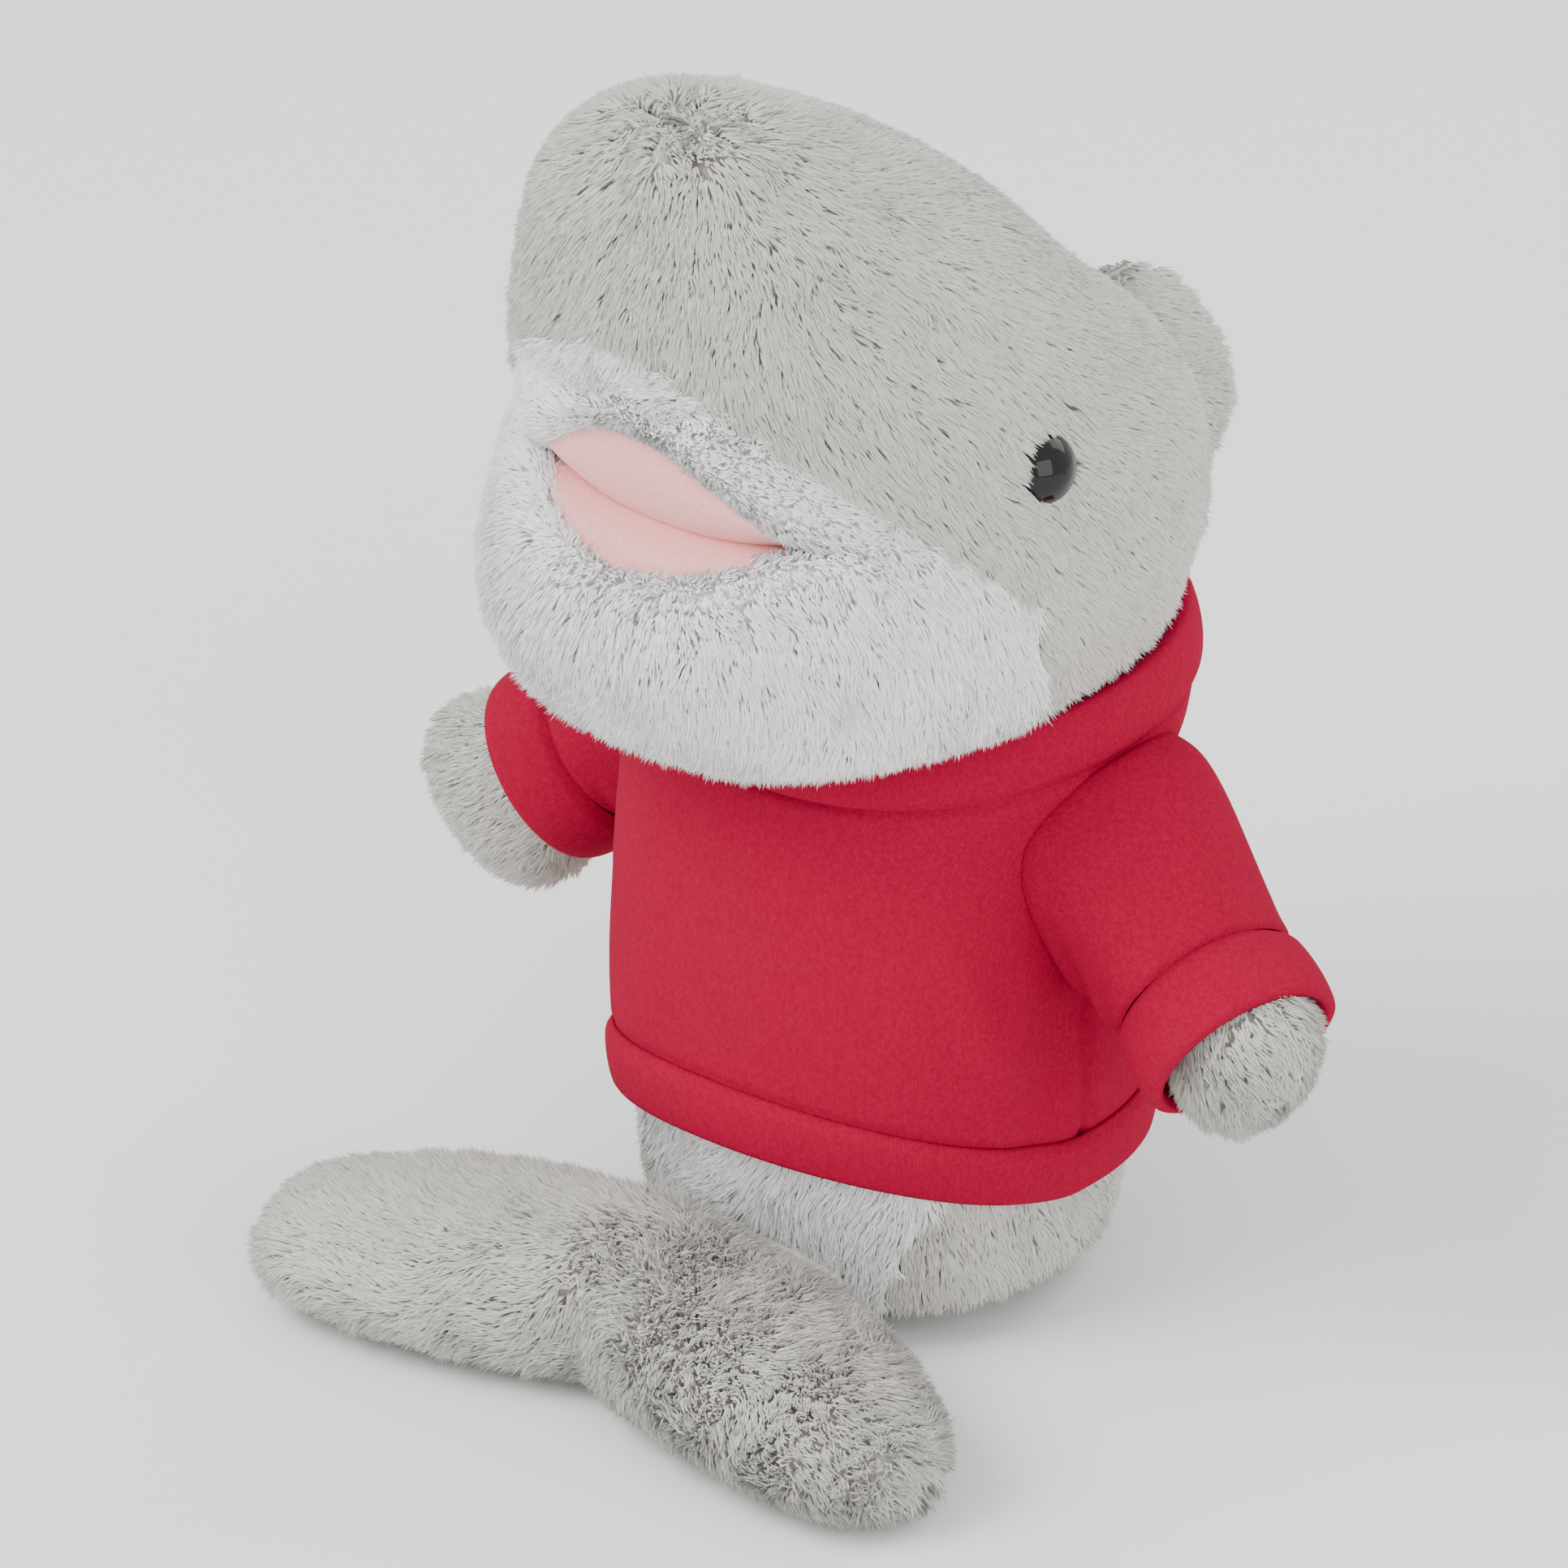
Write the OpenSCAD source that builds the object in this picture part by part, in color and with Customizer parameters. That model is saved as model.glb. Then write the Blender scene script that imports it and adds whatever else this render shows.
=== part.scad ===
// A seated plush shark in a knitted T-shirt, made the way a soft toy is sewn:
// pile-fabric panels around stuffing, with button eyes held by washers.
// Millimetres. +Z is up, the shark faces -Y, its own left side is +X, and it sits on z = 0.

/* [Head] */
// Height of the nose tip above the ground
head_top = 229; // [215:1:245]
// Half width of the head at the cheeks
head_half_w = 51; // [46:0.5:56]
// Thickness of the pile fabric, from its backing to the tips of the pile
pile = 5; // [3.5:0.5:6]
// Diameter of the button eye
eye_d = 12; // [9:0.5:14]

/* [Torso] */
// Half width of the seated torso at its fullest
torso_half_w = 42; // [38:0.5:46]
// Height of the middle of the neck
neck_z = 108; // [104:1:110]
// How far the neck leans, with its back higher than its front, in degrees
neck_tilt = 9; // [5:1:12]
// Radius of the neck
neck_r = 36; // [33:0.5:37]

/* [Shirt] */
// Thickness of the knitted shirt fabric
knit = 1.4; // [1:0.1:2]
// Height of the folded band around the hem
hem_band_h = 10.5; // [8:0.5:13]
// Width of the folded cuff at the end of each sleeve
cuff_w = 13; // [10:0.5:15]
// Height of the folded collar band
collar_h = 10; // [7:0.5:11]

/* [Flippers] */
// How far the left flipper hangs below level, in degrees
left_droop = 31; // [27:1:36]
// How far the right flipper hangs below level, in degrees
right_droop = 38; // [30:1:40]
// How far each flipper points forward, in degrees
flipper_forward = 15; // [8:1:20]
// Length from the shoulder to the end of the left cuff
left_sleeve_l = 42.5; // [38:0.5:44]
// Length from the shoulder to the end of the right cuff
right_sleeve_l = 39; // [38:0.5:44]
// Length from the shoulder to the flipper's tip
flipper_l = 61; // [58:1:64]

/* [Tail] */
// Half of the fluke's span, from the middle to one tip
fluke_half_w = 68; // [62:1:72]
// Height of the fluke at its root
fluke_root_h = 30; // [24:1:32]
// How far the tail is turned to the shark's right, in degrees
tail_turn = 3; // [-4:0.5:4]

/* [Dorsal fin] */
// Thickness of the dorsal fin at its base
fin_t = 13; // [10:0.5:14]

/* [Hidden] */

fur_grey = [0.77, 0.765, 0.73];
fur_white = [0.95, 0.95, 0.94];
lining_pink = [0.93, 0.7, 0.69];
shirt_red = [0.78, 0.12, 0.19];
fill_white = [0.98, 0.97, 0.93];

// Clearance between the soft pieces of one body, and between pieces that move past each other.
nest = 0.5;
play = 0.8;

// ---- Curves and skins -------------------------------------------------------------------

// Catmull-Rom spline through a list of vectors. t runs from 0 to len(list) - 1.
function at(list, i) = list[max(0, min(len(list) - 1, i))];
function spline(list, t) =
    let (i = min(len(list) - 2, max(0, floor(t))), s = t - i,
         a = at(list, i - 1), b = at(list, i), c = at(list, i + 1), d = at(list, i + 2))
    0.5 * (2 * b + (c - a) * s + (2 * a - 5 * b + 4 * c - d) * s * s + (3 * b - a - 3 * c + d) * s * s * s);

// Where along a spline its first component reaches a value, by halving the range.
function spline_find(list, value, lo, hi, n = 18) =
    n == 0 ? (lo + hi) / 2
    : let (mid = (lo + hi) / 2)
      spline(list, mid)[0] < value ? spline_find(list, value, mid, hi, n - 1)
                                   : spline_find(list, value, lo, mid, n - 1);

function unit(v) = v / max(norm(v), 1e-9);
function mix(a, b, s) = a + (b - a) * s;
function clamp01(s) = max(0, min(1, s));
function smooth(a, b, s) = let (k = clamp01((s - a) / (b - a))) k * k * (3 - 2 * k);
function lift(s, power) = sign(s) * pow(abs(s), power);

// A point of a rounded ring at one station [z, centre y, half length in Y, half width in X].
// angle 0 is the front and 90 is the shark's left side.
plump = 2 / 2.25;
function ring_point(station, angle) =
    [station[3] * lift(sin(angle), plump), station[1] - station[2] * lift(cos(angle), plump), station[0]];

// A point on a skin made of such rings, moved inward along its normal by depth.
function skin_point(stations, t, angle, depth) =
    let (p = ring_point(spline(stations, t), angle),
         along = ring_point(spline(stations, t), angle + 1) - ring_point(spline(stations, t), angle - 1),
         up = ring_point(spline(stations, t + 0.02), angle) - ring_point(spline(stations, t - 0.02), angle))
    p - depth * unit(cross(along, up));

// ---- Solids from grids of points -----------------------------------------------------------

// Two triangles for each cell of a grid, as indices that start at base.
function grid_faces(rows, cols, base, flip) =
    [for (r = [0:rows - 2], c = [0:cols - 2])
        let (a = base + r * cols + c, b = a + 1, d = a + cols, e = d + 1)
        each flip ? [[a, b, e], [a, e, d]] : [[a, e, b], [a, d, e]]];

// A sheet with thickness, between an outer and an inner grid of the same size.
module sheet_solid(outer, inner) {
    rows = len(outer);
    cols = len(outer[0]);
    count = rows * cols;
    edge = concat([for (c = [0:cols - 1]) c],
                  [for (r = [1:rows - 1]) r * cols + cols - 1],
                  [for (c = [cols - 2:-1:0]) (rows - 1) * cols + c],
                  [for (r = [rows - 2:-1:1]) r * cols]);
    sides = [for (i = [0:len(edge) - 1])
        let (a = edge[i], b = edge[(i + 1) % len(edge)])
        each [[a, b, b + count], [a, b + count, a + count]]];
    polyhedron(points = [for (row = outer) each row, for (row = inner) each row],
               faces = concat(grid_faces(rows, cols, 0, false),
                              grid_faces(rows, cols, count, true), sides),
               convexity = 6);
}

// A closed solid through rings of equal length, capped at both ends.
module loft_solid(rings) {
    n = len(rings[0]);
    last = (len(rings) - 1) * n;
    walls = [for (r = [0:len(rings) - 2], i = [0:n - 1])
        let (a = r * n + i, b = r * n + (i + 1) % n, d = a + n, e = b + n)
        each [[a, e, b], [a, d, e]]];
    polyhedron(points = [for (ring = rings) each ring],
               faces = concat(walls, [[for (i = [0:n - 1]) i]], [[for (i = [n - 1:-1:0]) last + i]]),
               convexity = 6);
}

// One panel of sewn fabric. place(u, v) gives [t, angle] on the skin for u and v from 0 to 1.
module panel(skin, place, cols, rows, outer_depth, inner_depth) {
    grid = function (depth)
        [for (r = [0:rows]) [for (c = [0:cols])
            let (spot = place(c / cols, r / rows)) skin(spot[0], spot[1], depth)]];
    sheet_solid(grid(outer_depth), grid(inner_depth));
}

// ---- Head ----------------------------------------------------------------------------------

// Rings of the head from the neck to the nose tip: [z, centre y, half length, half width].
head_rings = [
    [100, 5, 35, 36],
    [106, 1, 45, 41.5],
    [114, -3, 54, 46.5],
    [123, -7, 60.5, head_half_w - 1],
    [137, -10, 64.5, head_half_w],
    [152, -9.5, 62, head_half_w],
    [166, -11.5, 55.5, head_half_w - 2],
    [180, -19.5, 47.5, head_half_w - 5.5],
    [195, -27, 40.5, head_half_w - 10.5],
    [209, -35, 31.5, head_half_w - 17],
    [head_top - 9, -43, 20.5, 23.5],
    [head_top - 2.5, -48, 10.5, 12],
    [head_top, -50, 2, 2.5]
];
head_end = len(head_rings) - 1.35;
function head_low_z(angle) = neck_z + 2 - 42 * tan(neck_tilt) * cos(angle);

head_skin = function (t, angle, depth) skin_point(head_rings, t, angle, depth);
function head_t(z) = spline_find(head_rings, z, 0, len(head_rings) - 1);

// The mouth: heights of the two lips at the middle, its corners, and the seam that runs back
// from each corner to the hinge of the jaw.
upper_lip_z = 175;
lower_lip_z = 155;
corner_z = 163;
corner_angle = 40;
jaw_back_angle = 84;
jaw_hinge = [0, -20, 140];
jaw_gap = 1.2;

function seam_z(angle) = mix(corner_z, jaw_hinge[2], (abs(angle) - corner_angle) / (jaw_back_angle - corner_angle));
function upper_edge_z(angle) =
    abs(angle) < corner_angle ? mix(upper_lip_z, corner_z + jaw_gap, smooth(0, corner_angle, abs(angle)))
                              : seam_z(angle) + jaw_gap;
function lower_edge_z(angle) =
    abs(angle) < corner_angle ? mix(lower_lip_z, corner_z - jaw_gap, smooth(0, corner_angle, abs(angle)))
                              : seam_z(angle) - jaw_gap;

// The white muzzle reaches up to this height, which falls away towards the hinge of the jaw.
function muzzle_top_z(angle) = mix(192, jaw_hinge[2] + 5, pow(abs(angle) / jaw_back_angle, 1.5));

// The snout gusset runs up the middle of the face, and each side panel runs from it to the back.
gusset_angle = 30;
seam_gap = 0.35;

module head_side_panel() {
    front = function (u, v)
        let (angle = mix(gusset_angle + seam_gap, jaw_back_angle - seam_gap, u))
        [mix(head_t(muzzle_top_z(angle) + seam_gap), head_end, v), angle];
    rear = function (u, v)
        let (angle = mix(jaw_back_angle, 180 - seam_gap, u)) [mix(head_t(head_low_z(angle)), head_end, v), angle];
    panel(head_skin, front, 8, 12, 0, pile);
    panel(head_skin, rear, 12, 16, 0, pile);
}
// Each side has a seat pressed into its pile for the eye, with a hole for the eye's post.
module head_skin_left() color(fur_grey) difference() {
    head_side_panel();
    eye_place(1) eye_seat();
}
module head_skin_right() color(fur_grey) difference() {
    mirror([1, 0, 0]) head_side_panel();
    eye_place(-1) eye_seat();
}
module snout_gusset() {
    place = function (u, v)
        let (angle = mix(-gusset_angle, gusset_angle, u))
        [mix(head_t(muzzle_top_z(angle) + seam_gap), head_end, v), angle];
    color(fur_grey) panel(head_skin, place, 10, 10, 0, pile);
}
module muzzle_panel() {
    place = function (u, v)
        let (angle = mix(-jaw_back_angle, jaw_back_angle, u) * 0.995)
        [mix(head_t(upper_edge_z(angle)), head_t(muzzle_top_z(angle)), v), angle];
    color(fur_white) panel(head_skin, place, 26, 4, 0, pile);
}

// The head turns and nods on a ball of stuffing in the neck.
neck_centre = [0, 3, neck_z - 5];
neck_ball_r = 26;
function neck_ball_point(r, angle, rise) =
    neck_centre + r * [cos(rise) * sin(angle), -cos(rise) * cos(angle), sin(rise)];

// Stuffing fills the head behind the mouth, over the jaw and around the neck ball.
mouth_depth_y = -33;
module head_stuffing() {
    angles = [for (i = [0:39]) i * 9 - 180];
    inside = pile + nest;
    socket = [for (rise = [80, 50, 25]) [for (a = angles) neck_ball_point(neck_ball_r + 2 * play, a, rise)]];
    front_share = function (a) 1 - smooth(jaw_back_angle - 20, jaw_back_angle + 8, abs(a));
    floor_ring = [for (a = angles)
        let (p = head_skin(head_t(head_low_z(max(84, abs(a))) + 2), a, inside))
        [p[0] * 0.94, max(p[1], mix(p[1], mouth_depth_y + 16, front_share(a))), p[2]]];
    throat_ring = [for (a = angles)
        let (p = head_skin(head_t(jaw_hinge[2] + 6), a, inside))
        [p[0] * mix(1, 0.96, front_share(a)), max(p[1], mix(p[1], mouth_depth_y + 5, front_share(a))), p[2]]];
    lip_t = [for (a = angles) head_t(max(jaw_hinge[2] + 9, abs(a) < jaw_back_angle ? upper_edge_z(a) + 3 : 0))];
    outer = [for (v = [0:12]) [for (i = [0:39])
        head_skin(mix(lip_t[i], head_end, v / 12), angles[i], inside)]];
    color(fill_white) difference() {
        loft_solid(concat(socket, [floor_ring, throat_ring], outer));
        for (side = [-1, 1]) eye_place(side) washer_pocket();
    }
}

// The lining of the mouth: a roof on the head and a floor on the jaw, both fixed behind the lips.
roof_inset = pile + nest;
mouth_half_angle = 44;
lining_t = 1.6;
function roof_point(u, v, drop) =
    let (angle = mix(-mouth_half_angle, mouth_half_angle, u),
         lip = head_skin(head_t(upper_edge_z(angle) + 1.2), angle, roof_inset),
         back = [lip[0] * 0.97, mouth_depth_y - 3, jaw_hinge[2] + 11])
    mix(lip, back, v) - [0, 0, drop];
function floor_point(u, v, drop) =
    let (angle = mix(-mouth_half_angle, mouth_half_angle, u),
         lip = head_skin(head_t(lower_edge_z(angle) - 1), angle, roof_inset),
         back = [lip[0] * 0.95, mouth_depth_y - 5, jaw_hinge[2] + 5])
    mix(lip, back, v) - [0, 0, drop];
module lining(point) {
    sheet_solid([for (r = [0:5]) [for (c = [0:14]) point(c / 14, r / 5, 0)]],
                [for (r = [0:5]) [for (c = [0:14]) point(c / 14, r / 5, lining_t)]]);
}
module mouth_roof() color(lining_pink) lining(function (u, v, drop) roof_point(u, v, drop));
module mouth_floor() color(lining_pink) lining(function (u, v, drop) floor_point(u, v, drop));

// The lower jaw: its white panel, cut forward below the hinge so that it can open, and its stuffing.
jaw_low_z = neck_z - 2;
module jaw_panel() {
    back_angle = function (v) mix(jaw_back_angle - 13, jaw_back_angle - 0.8, v);
    place = function (u, v)
        let (angle = mix(-back_angle(v), back_angle(v), u))
        [mix(head_t(jaw_low_z), head_t(lower_edge_z(angle)), v), angle];
    color(fur_white) panel(head_skin, place, 26, 8, 0, pile);
}
module jaw_stuffing() {
    rear_y = mouth_depth_y - 5;
    level = function (v)
        let (half = mix(43, 58, smooth(0, 0.5, v)),
             front = [for (i = [0:22])
                 head_skin(mix(head_t(jaw_low_z + 6), head_t(jaw_hinge[2] + 2), v),
                           mix(-half, half, i / 22), pile + nest)],
             side = front[22])
        concat(front, [for (i = [1:5]) [mix(side[0], -side[0], i / 6), rear_y, side[2]]]);
    color(fill_white) loft_solid([for (v = [0:5]) level(v / 5)]);
}

// A shank eye: a glossy dome outside the fabric, a post through it and a washer behind.
eye_angle = 88;
eye_z = 166;
washer_t = 1.6;
module eye_place(side) {
    p = head_skin(head_t(eye_z), eye_angle, 0);
    q = head_skin(head_t(eye_z), eye_angle, 10);
    n = unit(p - q);
    mirror([side < 0 ? 1 : 0, 0, 0])
        translate(p) rotate([0, acos(n[2]), atan2(n[1], n[0])]) children();
}
eye_sink = 2.2;
post_d = 3;
post_end = pile + 5;
washer_top = pile + 1;
module eye() {
    cap_h = eye_d * 0.36;
    cap_r = (eye_d * eye_d / 4 + cap_h * cap_h) / (2 * cap_h);
    translate([0, 0, -eye_sink]) intersection() {
        translate([0, 0, cap_h - cap_r]) sphere(cap_r, $fn = 64);
        cylinder(h = cap_h + 1, d = eye_d, $fn = 64);
    }
    translate([0, 0, -post_end]) cylinder(h = post_end - eye_sink + 0.2, d = post_d, $fn = 24);
}
module eye_seat() {
    translate([0, 0, -eye_sink - 0.1]) cylinder(h = eye_d, d = eye_d + 0.4, $fn = 64);
    translate([0, 0, -post_end]) cylinder(h = post_end, d = post_d + 0.3, $fn = 24);
}
module washer() {
    translate([0, 0, -washer_top - washer_t]) difference() {
        cylinder(h = washer_t, d = eye_d + 1, $fn = 48);
        translate([0, 0, -1]) cylinder(h = washer_t + 2, d = post_d, $fn = 24);
    }
}
module washer_pocket() {
    translate([0, 0, -post_end - 0.6]) cylinder(h = post_end, d = eye_d + 2, $fn = 48);
}
module left_eye() color("black") eye_place(1) eye();
module right_eye() color("black") eye_place(-1) eye();
module left_eye_washer() color("ivory") eye_place(1) washer();
module right_eye_washer() color("ivory") eye_place(-1) washer();

// The knot of thread that gathers the panels at the nose tip.
module nose_gather_stitch() color(fur_grey) translate([0, -50, head_top - 3]) sphere(2.2, $fn = 32);

// ---- Neck ----------------------------------------------------------------------------------

module neck_stuffing() color(fur_white) translate(neck_centre) sphere(neck_ball_r, $fn = 96);

// ---- Dorsal fin ----------------------------------------------------------------------------

// The fin flops about the seam along its base, which runs down the back of the head.
fin_top = [0, 59.5, 157];
fin_bottom = [0, 64.5, 114];
fin_reach = [[5], [9.5], [14], [17.5], [20], [21.5], [21.5], [17], [8]];
fin_wall = 2.2;
fin_rows = 12;
function fin_point(s, angle, inset) =
    let (root = mix(fin_top, fin_bottom, s),
         half_t = fin_t / 2 * mix(0.62, 1, smooth(0, 0.35, s)) * mix(1, 0.75, smooth(0.85, 1, s)) - inset,
         reach = max(0.6, spline(fin_reach, s * (len(fin_reach) - 1))[0] - 1.3 * inset))
    root + [half_t * sin(angle), (cos(angle) < 0 ? half_t : reach) * cos(angle), 0];
module fin_panel(side) {
    grid = function (inset) [for (r = [0:fin_rows]) [for (c = [0:10])
        let (p = fin_point(mix(1, 0, r / fin_rows), 180 - 180 * c / 10, inset))
        [max(seam_gap / 2, p[0]), p[1], p[2]]]];
    color(fur_grey) mirror([side < 0 ? 1 : 0, 0, 0]) sheet_solid(grid(0), grid(fin_wall));
}
module dorsal_fin_left_panel() fin_panel(1);
module dorsal_fin_right_panel() fin_panel(-1);
module dorsal_fin_stuffing() {
    color(fill_white) loft_solid([for (r = [0:10])
        [for (c = [0:19]) fin_point(mix(0.93, 0.12, r / 10), -18 * c, fin_wall + 0.4)]]);
}

// ---- Torso ---------------------------------------------------------------------------------

// Rings of the torso from the seat to the neck: [z, centre y, half length, half width].
body_rings = [
    [4.6, 0, 33.5, 34.5],
    [10, 0, 37, 38],
    [22, 0, 39.5, torso_half_w - 1.5],
    [40, 0, 40.5, torso_half_w - 0.5],
    [60, 0, 40.5, torso_half_w],
    [80, 1, 40.5, torso_half_w],
    [neck_z - 14, 2, 40, torso_half_w],
    [neck_z - 5, 3, 38.5, 40],
    [neck_z + 3, 4, 36, 37.5]
];
body_wall = 3.5;
body_low_z = 5;
function body_top_z(angle) = neck_z - 16 - 42 * tan(neck_tilt) * cos(angle);
body_skin = function (t, angle, depth) skin_point(body_rings, t, angle, depth);
function body_t(z) = spline_find(body_rings, z, 0, len(body_rings) - 1);

// The shoulders, and the round armhole that leaves each sleeve free to swing.
shoulder = [44, 8, neck_z - 20];
armhole_r = 22;
armhole_z = shoulder[2] - 3;
function armhole_half(z) = sqrt(max(0, armhole_r * armhole_r - (z - armhole_z) * (z - armhole_z)));
function armhole_front(z) = min(90, acos((armhole_half(z) - shoulder[1] + 1) / torso_half_w));
function armhole_back(z) = max(90, acos((-armhole_half(z) - shoulder[1] + 1) / torso_half_w));

belly_half_angle = 50;
belly_low_z = 14;
armhole_low_z = armhole_z - armhole_r;
function belly_edge(z) = mix(belly_half_angle, armhole_front(z) - 1, smooth(armhole_low_z - 6, armhole_low_z, z));
module belly_panel() {
    place = function (u, v)
        let (z = mix(belly_low_z, body_top_z(mix(-75, 75, u)), v))
        [body_t(z), mix(-belly_edge(z), belly_edge(z), u)];
    color(fur_white) panel(body_skin, place, 18, 16, 0, body_wall);
}
module body_back_panel() {
    seat = function (u, v)
        let (z = mix(body_low_z, belly_low_z - 1.2, v)) [body_t(z), mix(-179.6, 179.6, u)];
    lower = function (u, v)
        let (z = mix(belly_low_z, armhole_low_z, v))
        [body_t(z), mix(belly_edge(z) + 1.2, 358.8 - belly_edge(z), u)];
    upper = function (u, v)
        let (z = mix(armhole_low_z + 0.4, body_top_z(mix(115, 245, u)), v))
        [body_t(z), mix(armhole_back(z), 360 - armhole_back(z), u)];
    color(fur_grey) {
        panel(body_skin, seat, 36, 2, 0, body_wall);
        panel(body_skin, lower, 24, 8, 0, body_wall);
        panel(body_skin, upper, 14, 9, 0, body_wall);
    }
}

// The flat panel that the toy sits on.
base_t = 4;
base_flat_r = 27;
module body_base_panel() {
    color(fur_grey) rotate_extrude($fn = 96)
        polygon([[0, 0], [base_flat_r, 0], [base_flat_r + 4, 1.4], [base_flat_r + 6, base_t], [0, base_t]]);
}

// A pouch of pellets weighs down the seat, and loose stuffing fills the rest.
pouch_top_z = 25;
module bean_pouch() {
    half_h = (pouch_top_z - base_t - 1) / 2;
    color("burlywood") translate([0, 0, base_t + 0.5 + half_h]) rotate_extrude($fn = 96) union() {
        intersection() {
            translate([19, 0]) circle(half_h, $fn = 48);
            translate([0, -half_h]) square([19 + half_h, 2 * half_h]);
        }
        translate([0, -half_h]) square([19, 2 * half_h]);
    }
}
stuffing_rings = [
    [pouch_top_z + 0.8, 0, 30, 31],
    [30, 0, 35, 36],
    [44, 0, 36, 36.5],
    [56, 0, 36, 33],
    [66, 0, 35, 27],
    [80, 1, 34, 25],
    [neck_z - 14, 2, 33, 25.5],
    [neck_z - 9, 3, 30, 28]
];
module torso_stuffing() {
    angles = [for (i = [0:35]) i * 10];
    body = [for (ring = stuffing_rings) [for (a = angles) ring_point(ring, a)]];
    socket = [for (rise = [-10, -30, -55, -80]) [for (a = angles) neck_ball_point(neck_ball_r + 2 * play, a, rise)]];
    color(fill_white) loft_solid(concat(body, socket));
}

// ---- Shirt ---------------------------------------------------------------------------------

// The hem rides up over the belly at the front and hangs lower at the sides and back.
hem_side_z = 25;
hem_rise = 13;
function hem_z(angle) = hem_side_z + hem_rise * pow(max(0, cos(angle)), 1.2);
function shirt_top_z(angle) = neck_z - 11 - 42 * tan(neck_tilt) * cos(angle);
module shirt_half(first_edge, last_edge, cols) {
    place = function (u, v)
        let (edge_angle = mix(first_edge(40), last_edge(40), u),
             z = mix(hem_z(edge_angle) + hem_band_h + 0.4, shirt_top_z(edge_angle), v))
        [body_t(z), mix(first_edge(z), last_edge(z), u)];
    color(shirt_red) panel(body_skin, place, cols, 18, -nest - knit, -nest);
}
module shirt_front() shirt_half(function (z) 0.5 - armhole_front(z), function (z) armhole_front(z) - 0.5, 18);
module shirt_back() shirt_half(function (z) armhole_back(z) + 0.5, function (z) 359.5 - armhole_back(z), 18);
module hem_band() {
    place = function (u, v)
        let (angle = mix(-179.7, 179.7, u)) [body_t(hem_z(angle) + hem_band_h * v), angle];
    color(shirt_red) panel(body_skin, place, 40, 2, -nest - 1.6 * knit, -nest);
}
module collar_band() {
    low_r = torso_half_w + 1.6;
    top_r = neck_r + 4.5;
    color(shirt_red) translate([0, 3, neck_z - 3]) rotate([neck_tilt, 0, 0]) rotate_extrude($fn = 120)
        polygon([[low_r - 2.4, -collar_h + 2.5], [low_r, -collar_h + 2.5], [top_r + 1, -1.2], [top_r - 0.5, -0.3],
                 [top_r - 1.6, -1.2]]);
}

// ---- Flippers ------------------------------------------------------------------------------

// Along the arm from the shoulder: [distance, half height, half thickness].
arm_rings = [
    [2, 11.5, 9.5],
    [14, 12.6, 10.5],
    [29, 13.2, 10],
    [flipper_l - 20, 14, 10],
    [flipper_l - 12, 16.5, 10.5],
    [flipper_l - 5.5, 15, 9],
    [flipper_l - 1.5, 9, 5.5],
    [flipper_l, 2.5, 2]
];
arm_wall = 3.2;
arm_end = len(arm_rings) - 1.2;
function arm_ring_point(t, angle) =
    let (ring = spline(arm_rings, t))
    [ring[0], -ring[2] * lift(cos(angle), plump), -ring[1] * lift(sin(angle), plump)];
arm_skin = function (t, angle, depth)
    let (p = arm_ring_point(t, angle),
         around = arm_ring_point(t, angle + 1) - arm_ring_point(t, angle - 1),
         along = arm_ring_point(t + 0.02, angle) - arm_ring_point(t - 0.02, angle))
    p - depth * unit(cross(around, along));

module arm_place(side) {
    droop = side < 0 ? right_droop : left_droop;
    mirror([side < 0 ? 1 : 0, 0, 0])
        translate(shoulder) rotate([0, 0, -flipper_forward]) rotate([0, droop, 0]) children();
}
module arm_panel(first_angle) {
    place = function (u, v) [arm_end * v, mix(first_angle, first_angle + 178, u)];
    color(fur_grey) panel(arm_skin, place, 12, 12, 0, arm_wall);
}
module arm_stuffing() {
    color(fill_white) loft_solid([for (v = [0:10])
        [for (c = [0:19]) arm_skin(mix(0.1, arm_end - 0.3, v / 10), 18 * c, arm_wall + 0.4)]]);
}
sleeve_top_r = 16;
sleeve_mid_r = 17;
cuff_r = 17;
module arm_sleeve(sleeve_l) {
    cuff_start = sleeve_l - cuff_w - 0.3;
    color(shirt_red) rotate([0, 90, 0]) rotate_extrude($fn = 96)
        polygon([[sleeve_top_r - knit, 2.5], [sleeve_top_r, 2.5], [sleeve_mid_r, 18], [cuff_r - 0.4, cuff_start],
                 [cuff_r - 0.4 - knit, cuff_start], [sleeve_mid_r - knit, 18]]);
}
module arm_cuff(sleeve_l) {
    color(shirt_red) translate([sleeve_l - cuff_w, 0, 0]) rotate([0, 90, 0]) difference() {
        cylinder(h = cuff_w, r = cuff_r, $fn = 96);
        translate([0, 0, -1]) cylinder(h = cuff_w + 2, r = cuff_r - 1.6 * knit, $fn = 96);
    }
}
module left_sleeve() arm_place(1) arm_sleeve(left_sleeve_l);
module left_cuff() arm_place(1) arm_cuff(left_sleeve_l);
module left_flipper_front_panel() arm_place(1) arm_panel(-89);
module left_flipper_back_panel() arm_place(1) arm_panel(91);
module left_flipper_stuffing() arm_place(1) arm_stuffing();
module right_sleeve() arm_place(-1) arm_sleeve(right_sleeve_l);
module right_cuff() arm_place(-1) arm_cuff(right_sleeve_l);
module right_flipper_front_panel() arm_place(-1) arm_panel(-89);
module right_flipper_back_panel() arm_place(-1) arm_panel(91);
module right_flipper_stuffing() arm_place(-1) arm_stuffing();

// ---- Tail fluke ----------------------------------------------------------------------------

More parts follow.
